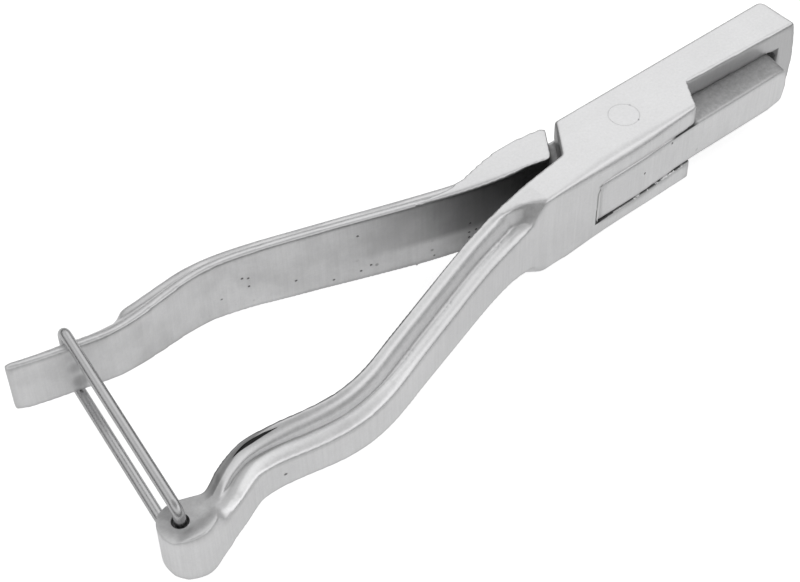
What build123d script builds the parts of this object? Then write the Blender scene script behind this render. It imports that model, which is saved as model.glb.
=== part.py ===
from build123d import *
import math
import os

# Livestock ear notcher, a hand plier in four pieces, in millimetres.
# Origin: the pivot axis where it meets the plane of the head's flat underside.
# X runs along the head towards the jaw tips, Y towards the die jaw, Z up along the pivot.
# The tool is modelled as it lies, closed and latched.

# Head and die jaw, cast in one with the die handle
head_height = 26.0
plate_thickness = 6.4
head_half_width = 9.9
side_recess = 0.2
side_margin = 16.0
tip_reach = 63.6
tip_barrel_radius = 42.0
tip_corner_round = 2.2
head_edge_round = 0.7
jaw_face_root = 1.3
jaw_face_tip = 3.0
jaw_root = 21.8
plate_front = 17.6
plate_corner_round = 1.6
rear_left = 15.2
rear_right = 22.4
rear_face_offset = 0.7
root_reach = 36.0
root_overlap = 22.2
root_end = 50.0
root_inset = 0.5
root_end_drop = 1.25
scoop_depth = 8.0

# Side of the head with the lever's window, along X: its distance from the middle, and the wear on its rims
side_stations = [
    (-54.0, 14.4, 0.5),
    (-46.0, 12.3, 0.5),
    (-38.0, 11.2, 0.6),
    (-30.0, 11.0, 1.1),
    (-22.0, 11.0, 2.2),
    (-14.0, 11.0, 3.0),
    (-6.0, 10.95, 3.1),
    (2.0, 10.7, 2.6),
    (10.0, 10.2, 1.8),
    (18.0, 9.9, 1.1),
    (26.0, 9.9, 1.0),
    (34.0, 9.9, 1.0),
    (42.0, 9.9, 1.0),
    (50.0, 9.9, 1.0),
    (58.0, 9.9, 1.0),
    (66.0, 9.9, 1.0),
]

# Hollow behind the head, seen from above: its edge in the head's top face, and lower down
scoop_edge = [(-33.5, -14.0), (-35.8, -11.4), (-38.3, -9.3), (-41.6, -7.5), (-45.5, -6.6), (-50.0, -6.3), (-58.0, -7.6)]
scoop_foot = [(-42.5, -17.0), (-43.4, -12.6), (-45.2, -10.4), (-48.2, -9.3), (-52.0, -8.8), (-59.0, -10.2)]

# Pivot rivet and the joint's play
rivet_diameter = 8.0
rivet_press_gap = 0.02
rivet_running_gap = 0.06
layer_gap = 0.1
wall_gap = 0.25

# Punch lever inside the head
boss_radius = 9.6
hub_reach = 20.4
opening_angle = 16.0
punch_start = 24.4
punch_back = 3.0
punch_reach = 55.3
nose_slant = 1.4
nose_round = 3.6
punch_edge_round = 1.5
punch_lower_round = 0.9

# Handles: a tall flat strap at the palm side, with a lower rounded rib along its outer side
strap_flat = 2.4
strap_thickness = 3.6
palm_round = 0.5
rib_reach = 8.3
ledge_start = 4.9
ledge_rise = 0.9
section_spacing = 5.0

# Shoulder of the punch lever, seen from above: its blunt end behind the head, and its outer flank
shoulder_rise = 0.15
shoulder_end = [(-24.6, 1.7), (-23.4, 2.1), (-17.7, 10.5)]
shoulder_flank = [(-18.6, 11.5), (-26.4, 12.6), (-34.0, 12.6), (-42.0, 11.2), (-48.0, 10.1), (-54.0, 9.9), (-61.5, 10.75)]

# Eye at the end of the die handle, and the wire latch in it
eye_x = -158.9
eye_y = -27.9
eye_half_height = 7.5
eye_hole_diameter = 4.2
wire_diameter = 2.8
wire_leg_spacing = 19.2
wire_bend = 2.6
wire_stub = 4.5
latch_end_x = -150.4
latch_end_y = 33.1

# Outline of the eye seen from above, round the end of the die handle
eye_points = [
    (-149.0, -25.6),
    (-152.6, -24.1),
    (-155.6, -22.9),
    (-158.8, -22.4),
    (-162.6, -23.9),
    (-164.4, -27.6),
    (-163.9, -31.4),
    (-161.8, -34.2),
    (-158.2, -35.6),
    (-152.0, -32.6),
]

# Points that the palm face of each handle runs through, seen from above
die_handle_line = [
    (-21.0, -0.5),
    (-30.0, -1.6),
    (-40.0, -3.0),
    (-54.0, -5.6),
    (-75.0, -12.2),
    (-95.0, -19.1),
    (-107.0, -22.6),
    (-115.0, -22.9),
    (-125.0, -21.2),
    (-134.0, -19.8),
    (-140.0, -20.3),
    (-146.0, -22.8),
    (-151.0, -25.0),
    (-156.5, -27.3),
]
punch_handle_line = [
    (-30.0, 3.0),
    (-40.0, 4.4),
    (-50.0, 6.9),
    (-75.0, 15.3),
    (-95.0, 22.3),
    (-107.0, 26.0),
    (-115.0, 27.3),
    (-125.0, 26.7),
    (-135.0, 25.7),
    (-142.0, 25.9),
    (-150.0, 27.7),
    (-158.0, 29.7),
    (-166.8, 32.3),
]

# Along each handle: distance behind the pivot, half height of the strap, half height of the rib's flat side
die_handle_stations = [
    (21.0, 12.8, 10.2),
    (36.0, 12.8, 10.2),
    (42.0, 12.5, 7.9),
    (48.0, 12.0, 6.3),
    (55.0, 11.4, 6.0),
    (66.0, 10.9, 5.9),
    (90.0, 10.4, 5.2),
    (106.0, 9.8, 4.8),
    (122.0, 9.0, 4.2),
    (136.0, 8.2, 4.6),
    (148.0, 7.8, 4.9),
    (152.0, 7.5, 5.2),
    (156.5, 7.3, 5.6),
]
punch_handle_stations = [
    (30.0, 10.9, 6.2),
    (62.0, 10.9, 6.0),
    (90.0, 10.4, 5.2),
    (106.0, 9.8, 4.8),
    (122.0, 9.0, 4.2),
    (136.0, 8.2, 4.4),
    (150.0, 7.9, 4.6),
    (167.0, 7.9, 4.6),
]

# Outer side of the punch handle's bare end, where the rib runs out: distance behind the pivot, thickness there
bare_end = [(133.0, 9.8), (138.0, 5.6), (144.0, 3.5), (151.0, 3.1), (157.0, 2.8), (162.0, 2.6), (168.0, 2.4)]

mid = head_height / 2
slot_half = mid - plate_thickness
layer_half = slot_half - layer_gap
shoulder_half = punch_handle_stations[0][1] + shoulder_rise
wire_radius = wire_diameter / 2


def slab(face, bottom, top):
    """A plan outline raised from one height to another."""
    return extrude(Pos(0, 0, bottom) * face, top - bottom)


def polar(radius, degrees):
    """A point round the pivot axis."""
    angle = math.radians(degrees)
    return (radius * math.cos(angle), radius * math.sin(angle))


def handle_section(strap_half, rib_half):
    """Strap and rib cut across: x points away from the palm face, y points up."""
    ledge_y = rib_half + ledge_rise
    wall_y = (strap_half + ledge_y) / 2
    corner_mid = palm_round * (1 - math.sqrt(0.5))
    edges = [Line((0, palm_round - strap_half), (0, strap_half - palm_round))]
    for side in (1, -1):
        edges += [
            ThreePointArc(
                (0, side * (strap_half - palm_round)),
                (corner_mid, side * (strap_half - corner_mid)),
                (palm_round, side * strap_half),
            ),
            Spline(
                (palm_round, side * strap_half),
                (strap_flat, side * (strap_half - palm_round)),
                (strap_thickness, side * wall_y),
                (ledge_start, side * ledge_y),
                (rib_reach, side * rib_half),
                tangents=[(1, 0), (1, -side)],
            ),
        ]
    edges.append(Line((rib_reach, rib_half), (rib_reach, -rib_half)))
    return make_face(Curve() + edges)


def point_behind(line, distance):
    """Where along a handle's line, from 0 to 1, it is a given distance behind the pivot."""
    near, far = 0.0, 1.0
    for _ in range(30):
        between = (near + far) / 2
        if -(line @ between).X < distance:
            near = between
        else:
            far = between
    return near


def sizes_behind(stations, distance):
    """The section's sizes at a distance behind the pivot, between the stations on either side."""
    distance = min(max(distance, stations[0][0]), stations[-1][0])
    for first, second in zip(stations, stations[1:]):
        if distance <= second[0]:
            share = (distance - first[0]) / (second[0] - first[0])
            return [a + share * (b - a) for a, b in zip(first[1:], second[1:])]


def away_from(run, outward):
    """The level direction across a handle, from its palm face to its rib."""
    across = Vector(-run.Y, run.X, 0)
    return across * math.copysign(1, across.Y * outward)


def handle(line, stations, outward):
    """A handle lofted through evenly spaced sections that stand across its palm face."""
    count = round(line.length / section_spacing)
    sections = []
    for step in range(count + 1):
        distance = line.length * step / count
        point = line.position_at(distance, position_mode=PositionMode.LENGTH)
        run = line.tangent_at(distance, position_mode=PositionMode.LENGTH)
        away = away_from(run, outward)
        stand = Plane(
            origin=Vector(point.X, point.Y, mid),
            x_dir=away,
            z_dir=away.cross(Vector(0, 0, 1)),
        )
        sections.append(stand * handle_section(*sizes_behind(stations, -point.X)))
    return loft(sections)


def bare_end_cutter(line, outward):
    """What is taken off the outer side of a handle so that only its strap goes on to the end."""
    edge = []
    for distance, thickness in bare_end:
        place = point_behind(line, distance)
        edge.append(line @ place + away_from(line % place, outward) * thickness)
    edge[-1] = edge[-1] + (line % 1)
    far_y = edge[-1].Y + 2 * outward * rib_reach
    curve = Spline(*edge)
    frame = Polyline((edge[-1].X, edge[-1].Y), (edge[-1].X, far_y), (edge[0].X, far_y), (edge[0].X, edge[0].Y))
    return slab(make_face(Curve() + [curve, frame]), 0, head_height)


def die_line():
    """The palm face of the die handle, seen from above."""
    return Spline(*die_handle_line)


def punch_line():
    """The palm face of the punch handle, seen from above."""
    return Spline(*punch_handle_line)


def worn_side(half_height, recess, upper_round, lower_round):
    """All that lies inside the head's side, with rounds on its two rims, as one long body along X."""
    sections = []
    for reach, width, wear in side_stations:
        upper = upper_round or wear
        lower = lower_round or wear
        side = recess - width
        stand = Plane(origin=(reach, 0, mid), x_dir=(0, 1, 0), z_dir=(1, 0, 0))
        outline = Curve() + [
            Line((side_margin, -half_height), (side_margin, half_height)),
            Line((side_margin, half_height), (side + upper, half_height)),
            RadiusArc((side + upper, half_height), (side, half_height - upper), -upper),
            Line((side, half_height - upper), (side, lower - half_height)),
            RadiusArc((side, lower - half_height), (side + lower, -half_height), -lower),
            Line((side + lower, -half_height), (side_margin, -half_height)),
        ]
        sections.append(stand * make_face(outline))
    return loft(sections)


def die_root(envelope):
    """The head's top and bottom faces run on along the palm side and taper into the strap."""
    line = die_line()
    near = line @ point_behind(line, root_reach)
    far = line @ point_behind(line, root_end)
    start = line @ 0
    rise = root_end_drop * (near.X + hub_reach) / (far.X - near.X)
    plan = Polyline(
        (-hub_reach, start.Y - root_inset),
        (-rear_right, start.Y - root_inset),
        (near.X, near.Y - root_inset),
        (far.X, far.Y - root_inset),
        (far.X, -side_margin),
        (-hub_reach, -side_margin),
        close=True,
    )
    profile = Polyline(
        (-hub_reach, mid + rise),
        (far.X, mid - root_end_drop),
        (far.X, root_end_drop - mid),
        (-hub_reach, -mid - rise),
        close=True,
    )
    standing = Plane(origin=(0, 0, mid), x_dir=(1, 0, 0), z_dir=(0, -1, 0)) * make_face(profile)
    block = slab(make_face(plan), -root_end_drop * 2, head_height + root_end_drop * 2)
    block = block & extrude(standing, amount=head_height, both=True) & envelope
    return block - scoop_cutter(1) - scoop_cutter(-1)


def scoop_cutter(side):
    """What the hollow takes out behind the head, above the rib (1) or below it (-1)."""
    faces = []
    for height, edge in ((mid, scoop_edge), (mid - scoop_depth, scoop_foot)):
        far_y = edge[0][1] - rib_reach
        frame = Polyline(edge[-1], (edge[-1][0], far_y), (edge[0][0], far_y), edge[0])
        faces.append(Pos(0, 0, mid + side * height) * make_face(Curve() + [Spline(*edge), frame]))
    return loft(faces, ruled=True)


def head_outline():
    """The head and the die jaw seen from above, with the rear face that slants across."""
    corner_y = plate_corner_round - head_half_width
    corner_mid = plate_corner_round * (1 - math.sqrt(0.5))
    turn = (plate_front - plate_corner_round, -head_half_width)
    outline = Polyline(
        turn,
        (plate_front - 2 * plate_corner_round, -side_margin),
        (-root_overlap, -side_margin),
        (-root_overlap, -rear_face_offset - root_inset),
        (-rear_right, -rear_face_offset),
        (-rear_left, head_half_width),
        (tip_reach, head_half_width),
        (tip_reach, -jaw_face_tip),
        (jaw_root, -jaw_face_root),
        (plate_front, corner_y),
    )
    corner = ThreePointArc((plate_front, corner_y), (plate_front - corner_mid, corner_mid - head_half_width), turn)
    return make_face(Curve() + [outline, corner])


def slot_outline():
    """The room between the plates: open behind and to the left for the neck, to the right for the punch."""
    room = boss_radius + wall_gap
    wall_y = punch_back + wall_gap
    hub = hub_reach + wall_gap
    outside = side_margin
    stop = polar(room, 90 - opening_angle)
    lean = math.degrees(math.atan2(wall_y, punch_start))
    touch_angle = lean + math.degrees(math.acos(room / math.hypot(punch_start, wall_y)))
    touch = polar(room, touch_angle)
    stop_mid = polar(room, (90 - opening_angle + touch_angle) / 2)
    rear_y = -rear_face_offset
    window_angle = 180 + math.degrees(math.asin(outside / hub))
    rear_angle = 180 + math.degrees(math.asin(rear_face_offset / hub))
    rear_end = polar(hub, rear_angle)
    rear_mid = polar(hub, (window_angle + rear_angle) / 2)
    window_end = polar(hub, window_angle)
    front_x = tip_reach / 2
    far_left = (-rear_right - wall_gap, rear_y)
    edges = [
        Line((stop[0], outside), stop),
        ThreePointArc(stop, stop_mid, touch),
        Line(touch, (punch_start, wall_y)),
        Line((punch_start, wall_y), (front_x, wall_y)),
        Line((front_x, wall_y), (front_x, -outside)),
        Line((front_x, -outside), window_end),
        ThreePointArc(window_end, rear_mid, rear_end),
        Line(rear_end, far_left),
        Line(far_left, (far_left[0], outside)),
        Line((far_left[0], outside), (stop[0], outside)),
    ]
    return make_face(Curve() + edges)


def nose_window(back, front, half, round_radius, left, right):
    """A bar along Y whose front end is rounded like the punch's nose, seen from the side."""
    centre_x = (back + front) / 2
    side = Pos(centre_x, mid, 0) * Rectangle(front - back, 2 * half)
    front_corners = side.vertices().group_by(Axis.X)[-1]
    side = fillet(front_corners, round_radius)
    standing = Plane(origin=(0, right, 0), x_dir=(1, 0, 0), z_dir=(0, -1, 0)) * side
    return extrude(standing, amount=left - right, dir=(0, 1, 0))


def eye_outline():
    """The eye seen from above: rounded at its end, and as wide as the rib on its outer side."""
    return make_face(Curve() + [Spline(*eye_points), Line(eye_points[-1], eye_points[0])])


def make_die_handle():
    """Head plates, die jaw, die handle and its eye, in one casting."""
    envelope = worn_side(mid, 0, 0, 0)
    head = slab(head_outline(), -plate_corner_round, head_height + plate_corner_round) & envelope
    barrel = Pos(tip_reach - tip_barrel_radius, 0, mid) * Rot(90, 0, 0) * Cylinder(
        tip_barrel_radius, 4 * head_half_width
    )
    front_half = Pos(tip_reach / 2, 0, mid) * Box(tip_reach, 4 * head_half_width, 2 * head_height)
    rear_half = Pos(-tip_reach / 2, 0, mid) * Box(tip_reach, 4 * head_half_width, 2 * head_height)
    head = head & (rear_half + (front_half & barrel))
    tips = [edge for edge in head.edges() if abs(edge.center().Z - mid) < layer_gap]
    head = fillet([edge for edge in tips if edge.center().X > plate_front + jaw_root], tip_corner_round)
    rims = [edge for edge in head.edges() if abs(edge.center().Z - mid) > mid - layer_gap]
    jaw_rims = [edge for edge in rims if edge.center().Y > -jaw_face_tip and edge.center().X > -rear_right + side_recess]
    head = fillet(jaw_rims, head_edge_round)
    arm = handle(die_line(), die_handle_stations, -1)
    eye = slab(eye_outline(), mid - eye_half_height, mid + eye_half_height)
    body = head + die_root(envelope) + arm + eye
    body = body - slab(slot_outline(), mid - slot_half, mid + slot_half)
    die = nose_window(
        punch_start,
        punch_reach + 3 * wall_gap,
        slot_half,
        nose_round,
        head_half_width + 1,
        -head_half_width,
    )
    body = body - die
    body = body - Pos(0, 0, mid) * Cylinder(rivet_diameter / 2 + rivet_press_gap, 2 * head_height)
    return body - slab(Pos(eye_x, eye_y) * Circle(eye_hole_diameter / 2), 0, head_height)


def lever_outline():
    """The layer of the punch lever that runs between the plates, seen from above."""
    neck_reach = shoulder_end[0][0]
    lean = math.degrees(math.atan2(punch_back, punch_start))
    touch_angle = lean + math.degrees(math.acos(boss_radius / math.hypot(punch_start, punch_back)))
    touch = polar(boss_radius, touch_angle)
    crest = (0, boss_radius)
    crest_mid = polar(boss_radius, (90 + touch_angle) / 2)
    heel_angle = 180 + math.degrees(math.asin(side_margin / hub_reach))
    rear_angle = 180 + math.degrees(math.asin((rear_face_offset - wall_gap) / hub_reach))
    heel = polar(hub_reach, heel_angle)
    heel_mid = polar(hub_reach, (heel_angle + rear_angle) / 2)
    rear = polar(hub_reach, rear_angle)
    edges = [
        Line((neck_reach, boss_radius), crest),
        ThreePointArc(crest, crest_mid, touch),
        Line(touch, (punch_start, punch_back)),
        Line((punch_start, punch_back), (punch_reach, punch_back)),
        Line((punch_reach, punch_back), (punch_reach - 2 * nose_slant, -side_margin)),
        Line((punch_reach - 2 * nose_slant, -side_margin), heel),
        ThreePointArc(heel, heel_mid, rear),
        Line(rear, (neck_reach, shoulder_end[0][1])),
        Line((neck_reach, shoulder_end[0][1]), (neck_reach, boss_radius)),
    ]
    return make_face(Curve() + edges)


def shoulder_outline():
    """The broad root of the punch handle, whose blunt end stands along the head's rear face."""
    line = punch_line()
    waist = line @ point_behind(line, -shoulder_flank[-1][0])
    start = line @ 0
    inner = Polyline(shoulder_flank[-1], (waist.X, waist.Y), (start.X, start.Y), *shoulder_end, shoulder_flank[0])
    return make_face(Curve() + [Spline(*shoulder_flank), inner])


def make_punch_lever():
    """Punch, pivot hub, neck, shoulder and punch handle, in one casting."""
    layer = slab(lever_outline(), mid - layer_half, mid + layer_half)
    keep = nose_window(
        -2 * tip_reach, punch_reach, layer_half, nose_round, 3 * head_half_width, -2 * side_margin
    )
    layer = layer & keep & worn_side(layer_half, side_recess, punch_edge_round, punch_lower_round)
    shoulder = slab(shoulder_outline(), mid - shoulder_half, mid + shoulder_half)
    line = punch_line()
    arm = handle(line, punch_handle_stations, 1) - bare_end_cutter(line, 1)
    body = layer + shoulder + arm
    return body - Pos(0, 0, mid) * Cylinder(rivet_diameter / 2 + rivet_running_gap, 2 * head_height)


def make_rivet():
    """The pivot, ground flush with both plates."""
    return slab(Circle(rivet_diameter / 2), 0, head_height)


def make_latch():
    """The wire bail: two legs that straddle the handles, bent into the eye's bore from above and below."""
    top = mid + wire_leg_spacing / 2
    bottom = mid - wire_leg_spacing / 2
    stub_top = mid + eye_half_height - wire_stub
    stub_bottom = mid - eye_half_height + wire_stub
    path = FilletPolyline(
        (eye_x, eye_y, stub_top),
        (eye_x, eye_y, top),
        (latch_end_x, latch_end_y, top),
        (latch_end_x, latch_end_y, bottom),
        (eye_x, eye_y, bottom),
        (eye_x, eye_y, stub_bottom),
        radius=wire_bend,
    )
    start = Plane(origin=path @ 0, z_dir=path % 0)
    return sweep(start * Circle(wire_radius), path=path)


os.makedirs("parts", exist_ok=True)
parts = {
    "die_handle": make_die_handle(),
    "punch_lever": make_punch_lever(),
    "pivot_rivet": make_rivet(),
    "wire_latch": make_latch(),
}
for name, solid in parts.items():
    export_step(solid, f"parts/{name}.step")
    print(name, round(solid.volume), "mm3", "valid", solid.is_valid)
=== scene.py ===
# %% [markdown]
# # Livestock ear notcher
# A hand plier of cast steel. One casting carries the slotted head, the die jaw and a handle with an eye;
# the other carries the punch and the second handle. A rivet joins them, and a wire latch holds them shut.
# The solids come from the construction model. This notebook gives them their worn shape, their finish, a
# floor, light and a camera.

# %% Load the frame
import math

import bpy
import numpy as np
from mathutils import Matrix, Vector

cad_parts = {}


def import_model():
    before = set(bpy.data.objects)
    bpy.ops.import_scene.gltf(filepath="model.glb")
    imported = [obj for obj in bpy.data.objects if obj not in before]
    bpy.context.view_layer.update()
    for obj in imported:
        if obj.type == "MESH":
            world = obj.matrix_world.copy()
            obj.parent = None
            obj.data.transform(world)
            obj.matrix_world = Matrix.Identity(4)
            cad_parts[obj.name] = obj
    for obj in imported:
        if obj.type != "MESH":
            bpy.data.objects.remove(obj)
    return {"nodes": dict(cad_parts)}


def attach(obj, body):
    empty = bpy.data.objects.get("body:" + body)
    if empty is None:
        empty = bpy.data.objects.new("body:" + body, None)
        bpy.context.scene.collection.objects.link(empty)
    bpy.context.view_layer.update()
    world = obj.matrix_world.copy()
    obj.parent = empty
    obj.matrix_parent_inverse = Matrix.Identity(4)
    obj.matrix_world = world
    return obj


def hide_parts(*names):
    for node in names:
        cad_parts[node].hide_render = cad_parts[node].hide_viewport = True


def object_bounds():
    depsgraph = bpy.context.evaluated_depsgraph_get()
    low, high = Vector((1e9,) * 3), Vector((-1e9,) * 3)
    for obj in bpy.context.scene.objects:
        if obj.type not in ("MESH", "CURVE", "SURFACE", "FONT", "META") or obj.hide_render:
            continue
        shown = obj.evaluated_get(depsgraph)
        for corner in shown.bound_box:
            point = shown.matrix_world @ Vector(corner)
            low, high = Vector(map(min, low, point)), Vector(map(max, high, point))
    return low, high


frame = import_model()
cad_box = [list(corner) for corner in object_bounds()]
MM = 0.001
HEAD_HEIGHT = 26.0
MIDDLE_HEIGHT = HEAD_HEIGHT / 2.0

# %% [markdown]
# ## Camera
# The view is the photograph's: from above, behind the handles' ends, turned a little about its own axis.
# The place, the two angles and the lens were worked out from the straight edges of the head.

# %% Camera
VIEW_AZIMUTH, VIEW_ELEVATION, VIEW_ROLL = math.radians(-38.0), math.radians(47.52), math.radians(-1.38)
CAMERA_PLACE = Vector((-262.3, -239.8, 343.2)) * MM
LENS, SENSOR = 81.75, 36.0


def camera_axes(azimuth, elevation, roll):
    """The camera's right, up and back directions: looking along minus back, rolled about it."""
    back = Vector(
        (
            math.sin(azimuth) * math.cos(elevation),
            -math.cos(azimuth) * math.cos(elevation),
            math.sin(elevation),
        )
    )
    right = (-back).cross(Vector((0, 0, 1))).normalized()
    up = right.cross(-back)
    rolled_right = right * math.cos(roll) + up * math.sin(roll)
    rolled_up = up * math.cos(roll) - right * math.sin(roll)
    return rolled_right, rolled_up, back


right, up, back = camera_axes(VIEW_AZIMUTH, VIEW_ELEVATION, VIEW_ROLL)
camera_data = bpy.data.cameras.new("camera")
camera_data.lens, camera_data.sensor_width = LENS, SENSOR
camera = bpy.data.objects.new("camera", camera_data)
bpy.context.scene.collection.objects.link(camera)
camera.matrix_world = Matrix(
    [
        [right[row], up[row], back[row], CAMERA_PLACE[row]]
        for row in range(3)
    ]
    + [[0, 0, 0, 1]]
)
bpy.context.scene.camera = camera


# %% [markdown]
# ## Node helpers
# A material is a graph of nodes. These helpers place a node, set its sockets and link it, so that each
# finish below reads as a list of the effects it is made of.


# %% Node helpers
def add_node(tree, kind, settings=None, **inputs):
    """Adds a node; inputs are values or the sockets that feed it, by the socket's name or number."""
    node = tree.nodes.new(kind)
    for key, value in (settings or {}).items():
        setattr(node, key, value)
    for key, value in inputs.items():
        name = key.replace("_", " ")
        socket = node.inputs[int(key[1:])] if key[0] == "i" and key[1:].isdigit() else node.inputs[name]
        if isinstance(value, bpy.types.NodeSocket):
            tree.links.new(value, socket)
        else:
            socket.default_value = value
    return node


def calc(tree, operation, first, second=0.0, third=0.0, clamp=False):
    """One arithmetic step, as a socket."""
    return add_node(
        tree, "ShaderNodeMath", {"operation": operation, "use_clamp": clamp}, i0=first, i1=second, i2=third
    ).outputs[0]


def ramp(tree, value, low, high, out_low=0.0, out_high=1.0):
    """A smooth step: out_low below low, out_high above high."""
    smooth = {"interpolation_type": "SMOOTHSTEP"}
    node = add_node(tree, "ShaderNodeMapRange", smooth, i0=value, i1=low, i2=high)
    node.inputs[3].default_value = out_low
    node.inputs[4].default_value = out_high
    return node.outputs[0]


def fade(tree, value, low, high):
    """A smooth step down: 1 below low, 0 above high."""
    return ramp(tree, value, low, high, 1.0, 0.0)


def split(tree, vector):
    """The three parts of a vector."""
    return add_node(tree, "ShaderNodeSeparateXYZ", Vector=vector).outputs


def stored(tree, name):
    """A number that is stored on the mesh, point by point."""
    return add_node(tree, "ShaderNodeAttribute", {"attribute_name": name}).outputs["Fac"]


# %% [markdown]
# ## Masks
# A mask is a number from 0 to 1 that says where on the tool an effect counts. Most of them follow from the
# place on the tool, in millimetres, so that they stay where they are when the tool moves.


# %% Masks
def past(tree, coordinate, low, high):
    """0 before low and 1 past high, both in millimetres."""
    return ramp(tree, coordinate, low * MM, high * MM)


def before(tree, coordinate, low, high):
    """1 before low and 0 past high, both in millimetres."""
    return fade(tree, coordinate, low * MM, high * MM)


def both(tree, *masks):
    """Where every mask is 1."""
    total = masks[0]
    for mask in masks[1:]:
        total = calc(tree, "MULTIPLY", total, mask)
    return total


def between(tree, coordinate, low, high, soft):
    """1 where a coordinate lies between two values in millimetres, with soft ends."""
    rising = past(tree, coordinate, low - soft, low + soft)
    return both(tree, rising, before(tree, coordinate, high - soft, high + soft))


def in_box(tree, place, box):
    """1 inside a box; it has one (low, high, soft) for each axis."""
    return both(tree, *(between(tree, part, *limits) for part, limits in zip(split(tree, place), box)))


def distance_from(tree, place, point):
    """How far a place lies from a point that is given in millimetres."""
    away = add_node(tree, "ShaderNodeVectorMath", {"operation": "DISTANCE"}, i0=place)
    away.inputs[1].default_value = [part * MM for part in point]
    return away.outputs["Value"]


def dots_at(tree, place, points, radius):
    """One mask for a handful of known points, each a dot that fades from half its radius on."""
    total = None
    for point in points:
        dot = before(tree, distance_from(tree, place, point), radius * 0.5, radius)
        total = dot if total is None else calc(tree, "MAXIMUM", total, dot)
    return total


# %% [markdown]
# ## Effects that the steels share
# The belt leaves fine parallel lines. A hand-ground casting also keeps slow waves and cloudy patches,
# and small pits where the metal was not quite sound. Each effect is one group, used with its own values.

# %% Groups
FLOAT, VECTOR = "NodeSocketFloat", "NodeSocketVector"


def new_group(name, inputs, outputs):
    """An empty node group with named sockets; each input is (name, kind, starting value)."""
    group = bpy.data.node_groups.new(name, "ShaderNodeTree")
    for socket_name, kind, start in inputs:
        socket = group.interface.new_socket(name=socket_name, in_out="INPUT", socket_type=kind)
        if start is not None:
            socket.default_value = start
    for socket_name, kind in outputs:
        group.interface.new_socket(name=socket_name, in_out="OUTPUT", socket_type=kind)
    return group, group.nodes.new("NodeGroupInput"), group.nodes.new("NodeGroupOutput")


def use(tree, group, **inputs):
    """Places a shared effect in a material."""
    node = tree.nodes.new("ShaderNodeGroup")
    node.node_tree = group
    for name, value in inputs.items():
        if isinstance(value, bpy.types.NodeSocket):
            tree.links.new(value, node.inputs[name])
        else:
            node.inputs[name].default_value = value
    return node.outputs[0]


# %% Belt lines
belt, belt_in, belt_out = new_group(
    "belt_lines",
    [("Place", VECTOR, None), ("Stretch", VECTOR, (1.0, 1.0, 1.0)), ("Density", FLOAT, 900.0)],
    [("Lines", FLOAT)],
)
stretched = add_node(
    belt,
    "ShaderNodeVectorMath",
    {"operation": "MULTIPLY"},
    i0=belt_in.outputs["Place"],
    i1=belt_in.outputs["Stretch"],
)
fine = add_node(
    belt,
    "ShaderNodeTexNoise",
    Vector=stretched.outputs[0],
    Scale=belt_in.outputs["Density"],
    Detail=3.0,
    Roughness=0.65,
)
belt.links.new(fine.outputs["Fac"], belt_out.inputs["Lines"])

# %% Cast clouds
cloud, cloud_in, cloud_out = new_group(
    "cast_clouds",
    [("Place", VECTOR, None), ("Size", FLOAT, 60.0), ("Fine", FLOAT, 0.5)],
    [("Cloud", FLOAT)],
)
cloud_noise = add_node(
    cloud,
    "ShaderNodeTexNoise",
    Vector=cloud_in.outputs["Place"],
    Scale=cloud_in.outputs["Size"],
    Detail=6.0,
    Roughness=cloud_in.outputs["Fine"],
)
cloud.links.new(cloud_noise.outputs["Fac"], cloud_out.inputs["Cloud"])

# %% Scattered pits
PIT_CORE, PIT_RIM = 0.1, 0.28
pits, pits_in, pits_out = new_group(
    "cast_pits",
    [("Place", VECTOR, None), ("Density", FLOAT, 300.0), ("Amount", FLOAT, 0.12)],
    [("Pits", FLOAT)],
)
cells = add_node(
    pits, "ShaderNodeTexVoronoi", Vector=pits_in.outputs["Place"], Scale=pits_in.outputs["Density"]
)
rare = add_node(pits, "ShaderNodeSeparateColor", Color=cells.outputs["Color"])
chosen = calc(pits, "LESS_THAN", rare.outputs[0], pits_in.outputs["Amount"])
pit = fade(pits, cells.outputs["Distance"], PIT_CORE, PIT_RIM)
pits.links.new(both(pits, chosen, pit), pits_out.inputs["Pits"])
print("shared effects", [group.name for group in (belt, cloud, pits)])

# %% [markdown]
# ## The castings' soft skin
# The solids of the construction model have crisp edges. Belt and mop wore the real castings soft, most of all
# round the eye and at the punch's nose. A Bevel modifier would round every edge alike, so each casting's
# solid is copied instead, remeshed in cells of half a millimetre, and smoothed: a little everywhere, and more
# at the worn spots.

# %% Mesh helpers
SMOOTH_FACTOR = 0.5


def read_places(mesh):
    """The places of a mesh's points, one row each."""
    places = np.empty(len(mesh.vertices) * 3)
    mesh.vertices.foreach_get("co", places)
    return places.reshape(-1, 3)


def store(piece, name, values):
    """Stores one number for each point of a piece, for its material to read."""
    piece.data.attributes.new(name, "FLOAT", "POINT").data.foreach_set("value", values)


def add_smooth(piece, name, passes, group=""):
    """Adds a Smooth modifier, for all points or for a vertex group."""
    modifier = piece.modifiers.new(name, "SMOOTH")
    modifier.factor, modifier.iterations, modifier.vertex_group = SMOOTH_FACTOR, passes, group


def modified_mesh(piece):
    """A new mesh: the piece's own with its modifiers applied."""
    bpy.context.view_layer.update()
    return bpy.data.meshes.new_from_object(piece.evaluated_get(bpy.context.evaluated_depsgraph_get()))


def apply_modifiers(piece):
    """Makes a piece's modifiers part of its mesh."""
    baked = modified_mesh(piece)
    piece.modifiers.clear()
    piece.data = baked


def rise(value, low, high):
    """A smooth step from 0 at low to 1 at high."""
    share = np.clip((value - low) / (high - low), 0.0, 1.0)
    return share * share * (3.0 - 2.0 * share)


# %% [markdown]
# ### Numbers stored on the skin
# Two numbers help the finish to follow the form. The first is how deep a point lies in a hollow, or how far
# out on an edge: the gap between the mesh and a much smoother copy of it. The second is how far a point of a
# handle lies from the palm face, so that the strap, the valley and the rib can each be finished along the
# handle's bends.

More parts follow.
